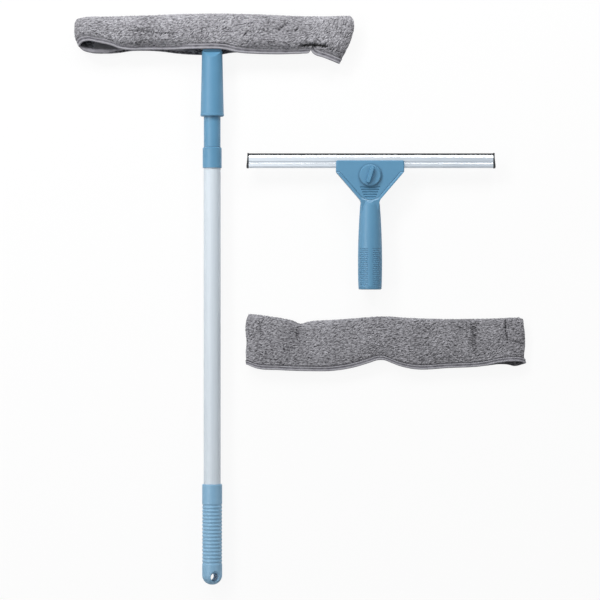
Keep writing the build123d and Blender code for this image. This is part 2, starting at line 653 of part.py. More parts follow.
def channel_section():
    """Section of the extruded channel in (y, z): grooved sides, sloped lips, keyhole for the rubber."""
    foot, groove, flank = CHANNEL_FOOT_ROUND, CHANNEL_GROOVE_DEPTH, CHANNEL_GROOVE_FLANK
    low = CHANNEL_GROOVE_Y
    high = low + CHANNEL_GROOVE_HEIGHT
    front = [(0, CHANNEL_HALF - foot), (foot, CHANNEL_HALF), (low, CHANNEL_HALF),
             (low + flank, CHANNEL_HALF - groove), (high - flank, CHANNEL_HALF - groove),
             (high, CHANNEL_HALF), (CHANNEL_SLOPE_Y, CHANNEL_HALF), (CHANNEL_HEIGHT, CHANNEL_LIP_HALF),
             (CHANNEL_HEIGHT, MOUTH_HALF), (CAVITY_TOP, MOUTH_HALF), (CAVITY_TOP, CAVITY_HALF),
             (CAVITY_FLOOR, CAVITY_HALF)]
    return front + [(y, -z) for y, z in reversed(front)]


def blade_channel():
    half = CHANNEL_LENGTH / 2
    return Pos(CHANNEL_SHIFT, CHANNEL_SEAT_Y, 0) * along_x(channel_section(), -half, half)


def rubber_blade():
    """Rubber strip: bead held in the channel, thin blade that stands out of its mouth."""
    bead, edge = CAVITY_HALF - RUN_GAP, MOUTH_HALF - RUN_GAP
    bead_top = CAVITY_TOP - RUN_GAP
    front = [(bead_top - RUBBER_BEAD_HEIGHT, bead), (bead_top, bead), (bead_top, edge),
             (CHANNEL_HEIGHT + RUBBER_PROUD, edge)]
    section = front + [(y, -z) for y, z in reversed(front)]
    half = CHANNEL_LENGTH / 2
    return Pos(CHANNEL_SHIFT, CHANNEL_SEAT_Y, 0) * along_x(section, -half, half)


def end_cap():
    """Right-hand end cap: plate that flares towards the foot, and a tongue inside the channel."""
    inner = CHANNEL_LENGTH / 2 + PRESS_GAP
    low, high = -CAP_OVERHANG, CHANNEL_HEIGHT + RUBBER_PROUD + CAP_OVERHANG
    side = make_face(Polyline((inner, low), (inner + CAP_THICK + CAP_FLARE - CAP_OVERHANG, low),
                              (inner + CAP_THICK + CAP_FLARE, CHANNEL_FOOT_ROUND),
                              (inner + CAP_THICK, CHANNEL_SLOPE_Y), (inner + CAP_THICK, high - CAP_OVERHANG),
                              (inner + CAP_THICK - CAP_OVERHANG, high), (inner, high), close=True))
    plate = raised(side, -CHANNEL_HALF - CAP_OVERHANG, CHANNEL_HALF + CAP_OVERHANG)
    floor = CAVITY_FLOOR + RUN_GAP
    half = CAVITY_HALF - RUN_GAP
    tongue = block(inner - CAP_TONGUE_LENGTH, inner + CAP_THICK / 2,
                   floor, floor + CAP_TONGUE_HEIGHT, -half, half)
    return Pos(0, CHANNEL_SEAT_Y, 0) * (plate + tongue)


def build_set():
    """Every piece by name, in its place."""
    pole = Pos(POLE_X, 0, LIE_Z)
    squeegee = Pos(SQUEEGEE_X, SQUEEGEE_BUTT_Y, HANDLE_AXIS_Z)
    spare = Pos(SPARE_X, 0, max(half for x, drop, height, half, lip in SPARE_STATIONS))
    cap = end_cap()
    pole_pieces = [outer_tube, pole_grip, tube_collar, inner_tube, lock_plug, lock_cam, cam_screw,
                   pole_tip, washer_bar]
    squeegee_pieces = [squeegee_handle, front_jaw, clamp_knob, clamp_screw, clamp_nut,
                       blade_channel, rubber_blade]
    nodes = {make.__name__: pole * make() for make in pole_pieces}
    nodes |= sleeve_nodes("washer", washer_sleeve(), pole)
    nodes |= {make.__name__: squeegee * make() for make in squeegee_pieces}
    nodes["end_cap_right"] = squeegee * Pos(CHANNEL_SHIFT, 0, 0) * cap
    nodes["end_cap_left"] = squeegee * Pos(CHANNEL_SHIFT, 0, 0) * mirror(cap, Plane.YZ)
    spare_pieces = sleeve(SPARE_STATIONS, SPARE_TOP_Y, SPARE_BINDING_ENDS, SPARE_STRIP)
    nodes |= sleeve_nodes("spare", spare_pieces, spare)
    return nodes


os.makedirs("parts", exist_ok=True)
for name, piece in build_set().items():
    export_step(piece, "parts/" + name + ".step")
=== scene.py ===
"""Looks of a window cleaning set laid out flat: a squeegee, a pole with a washer, and a spare sleeve."""
import json
import math

import bpy
import numpy as np
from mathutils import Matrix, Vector


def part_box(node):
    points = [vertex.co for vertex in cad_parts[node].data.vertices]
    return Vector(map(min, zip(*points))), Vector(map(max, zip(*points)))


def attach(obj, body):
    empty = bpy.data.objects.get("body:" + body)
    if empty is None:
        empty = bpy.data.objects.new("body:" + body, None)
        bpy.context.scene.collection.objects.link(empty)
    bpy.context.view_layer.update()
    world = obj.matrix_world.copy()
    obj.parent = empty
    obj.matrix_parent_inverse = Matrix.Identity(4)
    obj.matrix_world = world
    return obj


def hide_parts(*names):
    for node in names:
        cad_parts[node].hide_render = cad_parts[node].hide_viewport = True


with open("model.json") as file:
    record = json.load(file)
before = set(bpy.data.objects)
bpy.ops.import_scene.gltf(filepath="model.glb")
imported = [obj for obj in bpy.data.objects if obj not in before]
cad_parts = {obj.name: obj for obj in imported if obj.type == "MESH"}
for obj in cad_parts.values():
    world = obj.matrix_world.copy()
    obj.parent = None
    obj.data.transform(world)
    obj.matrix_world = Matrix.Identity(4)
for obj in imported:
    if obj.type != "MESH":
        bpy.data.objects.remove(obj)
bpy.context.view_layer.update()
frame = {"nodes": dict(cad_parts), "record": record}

MM = 0.001

# Camera straight above the set, at the photo's framing, in metres and its sensor in millimetres
VIEW_WIDTH = 0.72
VIEW_LEVEL = 0.0136
VIEW_CENTRE = (-0.0006, -0.0012)
CAMERA_RISE = 3.5
SENSOR = 36.0

# Floor in metres, its share of plain white to look at, and the light from all round
FLOOR_SIZE = 12.0
FLOOR_DROP = 0.0002
FLOOR_GLOW = 0.9
AMBIENT = 0.24

# Soft boxes: name, place, target and size in metres, power in watts, and whether reflections show them
LIGHTS = [
    ("top", (-0.3, 1.3, 0.8), (0.05, 0.1, 0), (0.5, 0.35), 6.5, True),
    ("side_top", (0.45, 1.2, 0.66), (0.08, 0.12, 0), (0.3, 0.3), 5.0, True),
    ("key", (-1.1, 1.4, 1.2), (0, 0.1, 0), (0.35, 0.35), 14.0, False),
    ("strip", (-1.15, 0.05, 1.15), (-0.1, 0.05, 0), (1.6, 0.4), 7.0, True),
    ("overhead", (-0.4, 0.2, 1.5), (-0.4, 0.2, 0), (1.0, 1.3), 2.0, True),
    ("fill", (1.2, -0.4, 0.8), (0, 0, 0), (1.0, 1.0), 2.4, True),
]

# Cloth of the sleeves, in millimetres, and the points that its curves are measured by
GRID_STEP = 0.6
POINTS_ACROSS = 2000
POINTS_DOWN = 500
CLOTH_THICKNESS = 1.0
EDGE_THICKNESS = 0.2
THICKNESS_RISE = 0.4
END_ROUND = 13.0
HEM_ZONE = 0.36
LUMP_HEIGHT = 0.7
LUMP_CELL = 26.0
SMALL_LUMP_CELL = 11.0
SMALL_LUMP_SHARE = 0.5

# Creases: depth in millimetres at which their painted shade is black, and shares for their ends
CREASE_FULL_SHADE_DEPTH = 5.0
CREASE_FADE = 0.25
CREASE_END = 0.15

# Pile: sizes in millimetres, turns in radians, and shares
PILE_HEIGHT = 1.7
PILE_PATCH_CELL = 30.0
PILE_PATCH_SHARE = 0.2
PILE_HEM_FADE = 2.0
PILE_END_FADE = 1.5
TUFT_CELL = 1.5
TUFT_STRAY = 0.6
TUFT_HALF_LENGTH = 1.9
TUFT_HALF_WIDTH = 0.75
TUFT_LOWEST = 0.35
TUFT_TURN = 0.6
COMB_CELL = 22.0
COMB_TURN = 0.9
FLAT_SPOT_LOSS = 0.7

# Shades that the cloth's finishes take, from dark at 0 to pale at 1.
# Painted shade: the pile's shade where it has no height, down between the tufts; the factor of painted
# shade towards the hem, where less light falls; and the lining's dark shade inside the sleeve.
# The stitches' shade is their own paler thread.
PILE_PIT_PAINTED_SHADE = 0.2
HEM_PAINTED_SHADE = 0.85
LINING_PAINTED_SHADE = 0.1
STITCH_SHADE = 0.45

# Binding tape round the mouth of a sleeve, in millimetres
TAPE_HALF_THICKNESS = 1.1
TAPE_PAST_HEM = 0.3
TAPE_LIFT = 0.35
TAPE_PUCKER = 0.36

# Section of the tape from its sewn edge round to it again: shares of its half width and thickness, and
# shade, painted dark at the seam by the pile and pale along its raised folds, as painted shade and painted
# highlights
TAPE_SECTION = [
    (0.98, 0.35, -0.7), (0.8, 0.7, -0.7), (0.66, 0.95, 0.2), (0.48, 1.0, 0.45), (0.3, 0.88, 0.0),
    (0.0, 0.82, -0.25), (-0.25, 0.88, 0.0), (-0.5, 1.0, 0.35), (-0.72, 0.95, 0.3), (-0.92, 0.7, -0.1),
    (-1.0, 0.0, -0.1), (-0.94, -0.7, 0.1), (0.0, -1.0, 0.1), (0.82, -0.7, -0.4),
]

# Stitches in millimetres, their rows as shares of the tape's half width, and shares along one stitch
STITCH_PITCH = 3.4
STITCH_LENGTH = 2.3
STITCH_RADIUS = 0.42
STITCH_SIDES = 6
STITCH_ROWS = (-0.6, 0.5)
STITCH_STATIONS = [(-1, 0.25), (-0.75, 0.8), (0, 1), (0.75, 0.8), (1, 0.25)]

# Sleeves: outlines, creases and flat spots in millimetres right of the left end and down from the top
WASHER = {
    "name": "washer",
    "body": "washer",
    "held": "stretched",
    "rests_on": ["washer_bar"],
    "width": 334.4,
    "depth": 43.6,
    "body_half": 10.2,
    "crown": 14.0,
    "top": [(2.6, 7.0), (10, 5.2), (42, 4.2), (90, 2.6), (138, 1), (186, 0.8), (234, 1.8), (270, 3.6),
            (300, 3.8), (330.2, 3)],
    "left": [(2.6, 7.0), (0.8, 10.8), (0, 18), (0.6, 27), (5.6, 38.5)],
    "right": [(330.2, 3), (333.2, 6.4), (334.4, 15.6), (331.4, 28.8), (324.2, 45.6), (316.4, 59.4)],
    "front_hem": [(5.6, 38.5), (9, 34.6), (15.5, 32.9), (29.6, 35.2), (44, 38.2), (54, 42), (66, 43.6),
                  (84, 43.2), (108, 43.2), (150, 42.6), (180, 43.4), (192, 46), (222, 48), (258, 48.2),
                  (274, 47.5), (280.6, 46.6), (282.4, 42.8), (285.6, 47), (300, 53), (316.4, 59.4)],
    "back_hem": [(5.6, 38.5), (8.6, 42.6), (18, 46.2), (36, 47.4), (54, 46.2), (66, 44.2), (84, 43.6),
                 (105, 44.8), (122, 46.9), (152, 48.2), (177, 47.4), (187, 45.8), (222, 47.6),
                 (258, 47.6), (274, 46.7), (280.6, 45.6), (282.4, 41.8), (285.6, 46), (300, 52),
                 (316.4, 59.4)],
    "half": [(0, 8), (20, 10.2), (300, 10.2), (318, 8), (335, 6)],
    "front_hem_half": [(0, 2), (10, 6), (25, 8), (45, 6.5), (66, 3.4), (125, 3.8), (150, 8.8), (180, 8.8),
                       (205, 3.8), (260, 3.4), (282, 2.4), (300, 3.2), (316, 2)],
    "back_hem_half": [(0, 2), (10, 1), (25, -1), (45, 1), (66, 3.2), (125, 4.4), (150, 8.8), (180, 8.8),
                      (205, 3.8), (260, 3.4), (282, 2.4), (300, 3.2), (316, 2)],
    "creases": [([(268, 40), (282, 37.2), (295, 38.6), (305, 40.4)], 6.5, 1.7),
                ([(60, 21), (80, 21.5), (105, 24), (124, 25)], 1.3, 1.3),
                ([(150, 23), (190, 22), (230, 22.5), (270, 24)], 0.8, 1.2),
                ([(209, 21), (205, 25), (201.5, 29.5)], 1.3, 1.2),
                ([(256, 10.5), (250, 16), (244, 22)], 1.3, 1.3),
                ([(270, 16), (266.5, 19.4), (263, 22.4)], 1.3, 1.2)],
    "flat_spots": [],
    "tape_half_width": 3.8,
    "comb": 0.7,
    # Level of painted light on the pile; the spare is painted darker than this, though the cloth is the
    # same.
    "tone_and_painted_light": 0.93,
    "seed": 5,
}
SPARE = {
    "name": "spare",
    "body": "spare_sleeve",
    "held": "laid",
    "rests_on": [],
    "width": 334.2,
    "depth": 58.2,
    "body_half": 4.2,
    "crown": 9.0,
    "top": [(3.6, 0.4), (20, 2.4), (41, 5.4), (56, 8.4), (66.6, 12.4), (74, 10.4), (101, 8), (137, 5.6),
            (166, 3.8), (197, 5.6), (245, 6.8), (293, 6.2), (329.4, 5)],
    "left": [(3.6, 0.4), (1.8, 4.8), (0, 19.2), (1.2, 31.2), (0.6, 52.8), (1.8, 60.6)],
    "right": [(329.4, 5), (333, 6.8), (334.2, 13.2), (336, 37.2), (334.8, 52.8), (336, 59.4)],
    "front_hem": [(1.8, 60.6), (11.4, 64.6), (41.4, 67.2), (77.4, 68.4), (107.4, 67.8), (131.4, 63.6),
                  (149.4, 58.2), (159, 55.2), (166.2, 55.2), (175.8, 58.8), (185.4, 62.4), (199.8, 65.6),
                  (245.4, 64.6), (288.6, 61.8), (305.4, 58.2), (323.4, 56.8), (331, 57.4), (336, 59.4)],
    "back_hem": [(1.8, 60.6), (11.4, 64.2), (41.4, 66.8), (77.4, 68), (107.4, 67.4), (131.4, 63),
                 (149.4, 57.6), (159, 54.6), (166.2, 54.6), (175.8, 58.2), (185.4, 61.8), (199.8, 65.2),
                 (245.4, 64.2), (289.8, 62), (305.4, 60.2), (315, 60.6), (323, 62.4), (336, 59.4)],
    "half": [(0, 4.2), (336, 4.2)],
    "front_hem_half": [(0, 1.6), (20, 2.6), (140, 2.8), (166, 3.2), (200, 2.8), (285, 3), (305, 5),
                       (325, 5.4), (336, 2)],
    "back_hem_half": [(0, 1.6), (20, 2.4), (285, 2.6), (305, 3.4), (325, 3.6), (336, 2)],
    "creases": [([(273, 8), (274, 30), (276, 48)], 1.3, 4.2),
                ([(312, 6), (313, 20), (315, 34)], 2.6, 1.3),
                ([(316, 30), (322, 33), (333, 37)], 0.8, 2.2),
                ([(17, 8), (18.5, 20), (18, 34)], 1.6, 1.5),
                ([(65, 13), (62, 24), (61, 33)], 0.7, 3.4)],
    "flat_spots": [(40, 24, 11, 10)],
    "tape_half_width": 3.1,
    "comb": 0.0,
    # Level of painted light on the pile: painted darker than the washer's same cloth.
    "tone_and_painted_light": 0.8,
    "seed": 11,
}


# Shader nodes

def add(tree, kind, inputs=None, **settings):
    """A shader node with its settings, and each input linked to a socket or set to a value."""
    made = tree.nodes.new("ShaderNode" + kind)
    for key, value in settings.items():
        setattr(made, key, value)
    for key, value in (inputs or {}).items():
        if isinstance(value, bpy.types.NodeSocket):
            tree.links.new(value, made.inputs[key])
        else:
            made.inputs[key].default_value = value
    return made


def ramp(tree, share, *stops):
    """A colour that runs through the stops, each a place from 0 to 1 and a linear colour."""
    made = add(tree, "ValToRGB", {"Fac": share})
    elements = made.color_ramp.elements
    for index, (place, color) in enumerate(stops):
        element = elements[index] if index < 2 else elements.new(place)
        element.position = place
        element.color = (*color, 1)
    return made.outputs["Color"]


def between(tree, share, low, high):
    """A number that runs from low to high as the share runs from 0 to 1."""
    return add(tree, "MapRange", {"Value": share, "To Min": low, "To Max": high}).outputs["Result"]


def shifted(tree, tone_and_painted_light, pattern, low, high):
    """A tone with a number added that runs from low to high with the pattern."""
    shift = between(tree, pattern, low, high)
    return add(tree, "Math", {0: tone_and_painted_light, 1: shift}, operation="ADD").outputs["Value"]


def multiplied(tree, first, second):
    """The product of two colours, by the colour sockets of a mix node."""
    inputs = {0: 1.0, 6: first, 7: second}
    return add(tree, "Mix", inputs, data_type="RGBA", blend_type="MULTIPLY").outputs[2]


def coordinates(tree, stretch=(1, 1, 1)):
    """Places in the frame, in metres, stretched by a factor along each axis."""
    place = add(tree, "TexCoord").outputs["Object"]
    return add(tree, "Mapping", {"Vector": place, "Scale": stretch}).outputs["Vector"]


def noise(tree, place, scale, detail):
    """Soft random values about 0.5, with about scale features to the metre."""
    return add(tree, "TexNoise", {"Vector": place, "Scale": scale, "Detail": detail}).outputs["Fac"]


def bumped(tree, strength, distance, height, **normal):
    """Surface directions after a bump of this height, over those given as Normal."""
    inputs = {"Strength": strength, "Distance": distance, "Height": height, **normal}
    return add(tree, "Bump", inputs).outputs["Normal"]


def start_material(name):
    """An empty material, its node tree and its output node."""
    made = bpy.data.materials.new(name)
    made.use_nodes = True
    made.node_tree.nodes.clear()
    return made, made.node_tree, add(made.node_tree, "OutputMaterial")


def finish_material(tree, output, **sockets):
    """A principled shader with these sockets, underscores standing for spaces, on the output."""
    inputs = {key.replace("_", " "): value for key, value in sockets.items()}
    shader = add(tree, "BsdfPrincipled", inputs)
    tree.links.new(shader.outputs["BSDF"], output.inputs["Surface"])


def moulded(name, dark, light, roughness, edge=0.35 * MM):
    """Moulded plastic or rubber: uneven colour and gloss, painted shade darkening hollows and crevices, a
    fine grain and soft edges.
    """
    made, tree, output = start_material(name)
    place = coordinates(tree)
    patches = noise(tree, place, scale=30, detail=2)
    specks = noise(tree, place, scale=1500, detail=2)
    color = ramp(tree, patches, (0.3, dark), (0.7, light))
    # Painted shade: the colour is darkened, with a blue tint, in hollows, grooves and gaps that the
    # occlusion finds within 4 mm.
    open_share = add(tree, "AmbientOcclusion", {"Distance": 4 * MM}, samples=16).outputs["AO"]
    depth = ramp(tree, open_share, (0.3, (0.3, 0.34, 0.38)), (0.9, (1, 1, 1)))
    rounded = add(tree, "Bevel", {"Radius": edge}, samples=8).outputs["Normal"]
    finish_material(
        tree, output, Base_Color=multiplied(tree, color, depth),
        Roughness=between(tree, patches, roughness - 0.03, roughness + 0.03),
        Normal=bumped(tree, 0.15, 0.01 * MM, specks, Normal=rounded),
    )
    return made


def coated_tube():
    """Smooth cool white coat on the pole's tubes, with faint lines along them."""
    made, tree, output = start_material("white_coat")
    streaks = noise(tree, coordinates(tree, (1, 0.02, 1)), scale=900, detail=2)
    patches = noise(tree, coordinates(tree), scale=45, detail=3)
    peel = noise(tree, coordinates(tree), scale=300, detail=1)
    finish_material(
        tree, output,
        Base_Color=ramp(tree, streaks, (0.3, (0.62, 0.69, 0.755)), (0.7, (0.66, 0.73, 0.79))),
        Roughness=between(tree, patches, 0.32, 0.36),
        Normal=bumped(tree, 0.1, 0.01 * MM, peel),
    )
    return made


def drawn_metal(name, dark, light, roughness, stretch):
    """Metal with fine lines along the way it was drawn."""
    made, tree, output = start_material(name)
    lines = noise(tree, coordinates(tree, stretch), scale=2600, detail=3)
    patches = noise(tree, coordinates(tree), scale=40, detail=3)
    rounded = add(tree, "Bevel", {"Radius": 0.2 * MM}, samples=8).outputs["Normal"]
    finish_material(
        tree, output, Base_Color=ramp(tree, lines, (0.3, dark), (0.7, light)), Metallic=1.0,
        Roughness=between(tree, patches, roughness - 0.04, roughness + 0.06),
        Normal=bumped(tree, 0.12, 0.02 * MM, lines, Normal=rounded),
    )
    return made


def pile_cloth():
    """Grey microfibre pile, with painted shade from its shade attribute down between the tufts, in
    creases, towards the hem and on the lining, with streaks of fine fibres and a soft sheen.
    """
    made, tree, output = start_material("pile_cloth")
    tone_and_painted_light = add(tree, "Attribute", attribute_name="shade").outputs["Fac"]
    fibres = noise(tree, coordinates(tree), scale=1500, detail=3)
    streaks = noise(tree, coordinates(tree, (0.45, 1, 1)), scale=620, detail=2)
    patches = noise(tree, coordinates(tree), scale=40, detail=3)
    for pattern, reach in ((fibres, 0.35), (streaks, 0.7), (patches, 0.2)):
        tone_and_painted_light = shifted(tree, tone_and_painted_light, pattern, -reach, reach)
    finish_material(
        tree, output,
        # The darkest stops carry painted shade on the lining and in the creases.
        Base_Color=ramp(tree, tone_and_painted_light, (0.0, (0.035, 0.034, 0.040)), (0.12, (0.11, 0.108, 0.118)),
                        (0.95, (0.54, 0.535, 0.575))),
        Roughness=0.9, Specular_IOR_Level=0.2, Sheen_Weight=0.2, Sheen_Roughness=0.5,
        Normal=bumped(tree, 0.6, 0.25 * MM, fibres),
    )
    return made


def yarns(tree, place, direction):
    """Fine yarns side by side in one direction."""
    inputs = {"Vector": place, "Scale": 380, "Distortion": 1.5}
    return add(tree, "TexWave", inputs, bands_direction=direction).outputs["Fac"]


def woven_tape(name, dark, light):
    """Woven tape: fine yarns, and where it is sewn on, painted highlights on its folds and painted shade
    along the seam at its edge.
    """
    made, tree, output = start_material(name)
    place = coordinates(tree)
    across, along = yarns(tree, place, "X"), yarns(tree, place, "Y")
    weave = add(tree, "Math", {0: across, 1: along}, operation="MULTIPLY").outputs["Value"]
    patches = noise(tree, place, scale=160, detail=4)
    tone_and_painted_light = add(tree, "Attribute", attribute_name="shade").outputs["Fac"]
    for pattern, reach in ((weave, 0.35), (patches, 0.65)):
        tone_and_painted_light = shifted(tree, tone_and_painted_light, pattern, 0, reach)
    finish_material(
        tree, output,
        Base_Color=ramp(tree, tone_and_painted_light, (0.0, (0.03, 0.03, 0.036)), (0.2, dark), (0.75, light)),
        Roughness=0.75, Specular_IOR_Level=0.3, Sheen_Weight=0.15,
        Normal=bumped(tree, 0.5, 0.12 * MM, weave),
    )
    return made


# Finishes by material slot, and by node for the grip, which is painted paler than its slot, as painted
# light for the light that falls on it
FINISHES = {
    "blue_plastic": moulded("blue_plastic", (0.100, 0.268, 0.430), (0.111, 0.286, 0.452), 0.34),
    "pole_grip": moulded("grip_plastic_painted_light", (0.228, 0.430, 0.615), (0.245, 0.455, 0.645), 0.34),
    "white_coat": coated_tube(),
    "lock_plastic": moulded("lock_plastic", (0.48, 0.47, 0.43), (0.56, 0.55, 0.51), 0.5),
    "steel": drawn_metal("steel", (0.50, 0.50, 0.52), (0.62, 0.62, 0.63), 0.32, (1, 1, 0.05)),
    "aluminium": drawn_metal("aluminium", (0.66, 0.685, 0.715), (0.76, 0.785, 0.81), 0.3, (0.02, 1, 1)),
    "black_rubber": moulded("black_rubber", (0.010, 0.010, 0.011), (0.016, 0.016, 0.018), 0.42,
                            edge=0.15 * MM),
    "black_plastic": moulded("black_plastic", (0.012, 0.013, 0.014), (0.020, 0.021, 0.023), 0.45),
    "pile_cloth": pile_cloth(),
    "binding_tape": woven_tape("binding_tape", (0.125, 0.122, 0.140), (0.40, 0.395, 0.43)),
    "hook_loop_tape": woven_tape("hook_loop_tape", (0.05, 0.05, 0.056), (0.10, 0.10, 0.112)),
}


def dress_nodes():
    """Its own finish, or that of its slot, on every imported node."""
    for part in frame["record"]["subparts"]:
        mesh = frame["nodes"][part["node"]].data
        mesh.materials.clear()
        mesh.materials.append(FINISHES.get(part["node"], FINISHES[part["material_slot"]]))


# Curves and grids

def smooth_line(points, fine=24):
    """Many points on a smooth curve through the given ones."""
    given = np.array(points, float)
    step = np.linalg.norm(np.diff(given, axis=0), axis=1)[:, None]
    slope = np.diff(given, axis=0) / step
    inner = (slope[:-1] * step[1:] + slope[1:] * step[:-1]) / (step[:-1] + step[1:])
    tangent = np.vstack([slope[:1], inner, slope[-1:]])
    t = np.linspace(0, 1, fine, endpoint=False)[:, None]
    spans = []
    for k, length in enumerate(step):
        start = (2 * t**3 - 3 * t**2 + 1) * given[k] + (t**3 - 2 * t**2 + t) * length * tangent[k]
        end = (3 * t**2 - 2 * t**3) * given[k + 1] + (t**3 - t**2) * length * tangent[k + 1]
        spans.append(start + end)
    return np.vstack(spans + [given[-1:]])


def run_along(points):
    """Length of the way along a line from its first point to each of its points."""
    return np.concatenate([[0], np.cumsum(np.linalg.norm(np.diff(points, axis=0), axis=1))])


def along_x(points, shares):
    """Points of the curve at these shares of its way from left to right."""
    line = smooth_line(points)
    x = line[0, 0] + (line[-1, 0] - line[0, 0]) * shares
    return np.column_stack([x, np.interp(x, line[:, 0], line[:, 1])])


def along_length(points, shares):
    """Points of the curve at these shares of its length."""
    line = smooth_line(points)
    run = run_along(line)
    return np.column_stack([np.interp(shares * run[-1], run, line[:, k]) for k in (0, 1)])


def ease(value):
    """A soft step from 0 to 1 as the value goes from 0 to 1."""
    value = np.clip(value, 0, 1)
    return value * value * (3 - 2 * value)


def dome(share):
    """A quarter round: 0 at the edge, 1 from share 1 on."""
    return np.sqrt(1 - (1 - np.clip(share, 0, 1))**2)


def unit(vectors):
    """Vectors of length one."""
    return vectors / np.linalg.norm(vectors, axis=-1, keepdims=True)


def even_shares(across, up):
    """Shares of the way across at which points lie one grid step apart on the curve of heights."""
    run = run_along(np.column_stack([across, up]))
    count = round(run[-1] / GRID_STEP) + 1
    return np.interp(np.linspace(0, run[-1], count), run, across / across[-1])


def near_line(places, points):
    """Distance of each place from the smooth line, and the place's share along it."""
    line = smooth_line(points, fine=8)
    gaps = np.linalg.norm(places[..., None, :] - line, axis=-1)
    return gaps.min(axis=-1), gaps.argmin(axis=-1) / (len(line) - 1)


def swell(rng, rows, columns, cell):
    """Soft random hills between -1 and 1, a cell in millimetres apart on the grid."""
    points = cell / GRID_STEP
    hills = rng.uniform(-1, 1, (int(rows / points) + 2, int(columns / points) + 2))
    for count in (rows, columns):
        at = np.arange(count) / points
        whole = at.astype(int)
        part = ease(at - whole)[:, None]
        hills = (hills[whole] * (1 - part) + hills[whole + 1] * part).T
    return hills


def grid_faces(ids):
    """Quads between the neighbours of a grid of point numbers."""
    return np.stack([ids[:-1, :-1], ids[:-1, 1:], ids[1:, 1:], ids[1:, :-1]], axis=-1).reshape(-1, 4)


def mesh_object(name, places, faces, shades, finish):
    """A smooth mesh of the points that the faces use, with the shade that its finish takes at each."""
    keep, corners = np.unique(np.concatenate(faces), return_inverse=True)
    mesh = bpy.data.meshes.new(name)
    mesh.from_pydata(places[keep].tolist(), [], corners.reshape(-1, 4).tolist())
    mesh.shade_smooth()
    mesh.materials.append(FINISHES[finish])
    shade = mesh.attributes.new("shade", "FLOAT", "POINT")
    shade.data.foreach_set("value", shades[keep].astype(np.float32))
    made = bpy.data.objects.new(name, mesh)
    bpy.context.scene.collection.objects.link(made)
    return made


# Sleeves

def panel(sleeve, side, u, v):
    """Points of one panel in millimetres, fold first: right, down and out from the middle plane."""
    top = along_x(sleeve["top"], u)
    hem = along_x(sleeve[side + "_hem"], u)
    left = along_length(sleeve["left"], v)[:, None]
    right = along_length(sleeve["right"], v)[:, None]
    across, down = u[None, :, None], v[:, None, None]
    corners = ((1 - across) * ((1 - down) * top[0] + down * hem[0])
               + across * ((1 - down) * top[-1] + down * hem[-1]))
    flat = (1 - down) * top + down * hem + (1 - across) * left + across * right - corners
    x = flat[..., 0]
    body = np.interp(x, *np.transpose(sleeve["half"]))
    mouth = np.interp(x, *np.transpose(smooth_line(sleeve[side + "_hem_half"])))
    to_hem = ease((v[:, None] - (1 - HEM_ZONE)) / HEM_ZONE)
    depth = hem[:, 1] - top[:, 1]
    out = (body * (1 - to_hem) + mouth * to_hem) * dome(v[:, None] * depth / sleeve["crown"])
    ends = np.minimum(u, 1 - u) * sleeve["width"]
    return np.dstack([flat, out * dome(ends / END_ROUND)])


def fold_in(sleeve, front, rng):
    """Press creases and soft lumps into a panel, and give the painted shade of its creases from 0 to 1."""
    flat, out = front[..., :2], front[..., 2]
    firm = out / out.max()
    lumps = swell(rng, *out.shape, LUMP_CELL)
    lumps += SMALL_LUMP_SHARE * swell(rng, *out.shape, SMALL_LUMP_CELL)
    out += LUMP_HEIGHT * lumps * firm
    crease_shade = np.zeros(out.shape)
    for points, depth, width in sleeve["creases"]:
        gap, share = near_line(flat, points)
        from_end = np.minimum(share, 1 - share)
        pressed = depth * np.exp(-(gap / width)**2) * ease(from_end / CREASE_FADE + CREASE_END)
        out -= pressed
        crease_shade = np.maximum(crease_shade, pressed / CREASE_FULL_SHADE_DEPTH)
    return crease_shade


def cloth_grid(sleeve, rng):
    """The sleeve's points in millimetres, front hem to back hem over the fold, and the painted shade of
    its front's creases.
    """
    across = np.linspace(0, sleeve["width"], POINTS_ACROSS)
    down = np.linspace(0, sleeve["depth"], POINTS_DOWN)
    from_end = np.minimum(across, sleeve["width"] - across)
    u = even_shares(across, sleeve["body_half"] * dome(from_end / END_ROUND))
    v = even_shares(down, sleeve["body_half"] * dome(down / sleeve["crown"]))
    front, back = panel(sleeve, "front", u, v), panel(sleeve, "back", u, v)
    crease_shade = fold_in(sleeve, front, rng)
    back[..., 2] *= -1
    return np.concatenate([front[::-1], back[1:]]), crease_shade[::-1]


def in_frame(sleeve, places):
    """Places in millimetres right, down and out turned into metres in the frame."""
    low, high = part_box(sleeve["name"] + "_front_cloth")
    back_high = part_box(sleeve["name"] + "_back_cloth")[1]
    origin = np.array([low.x, high.y, (low.z + back_high.z) / 2])
    return origin + places * np.array([MM, -MM, MM])


def outward(grid):
    """Unit normals of a grid of points, to the outside of the sleeve."""
    normal = np.cross(np.gradient(grid, axis=1), np.gradient(grid, axis=0))
    return normal / np.maximum(np.linalg.norm(normal, axis=-1, keepdims=True), 1e-15)


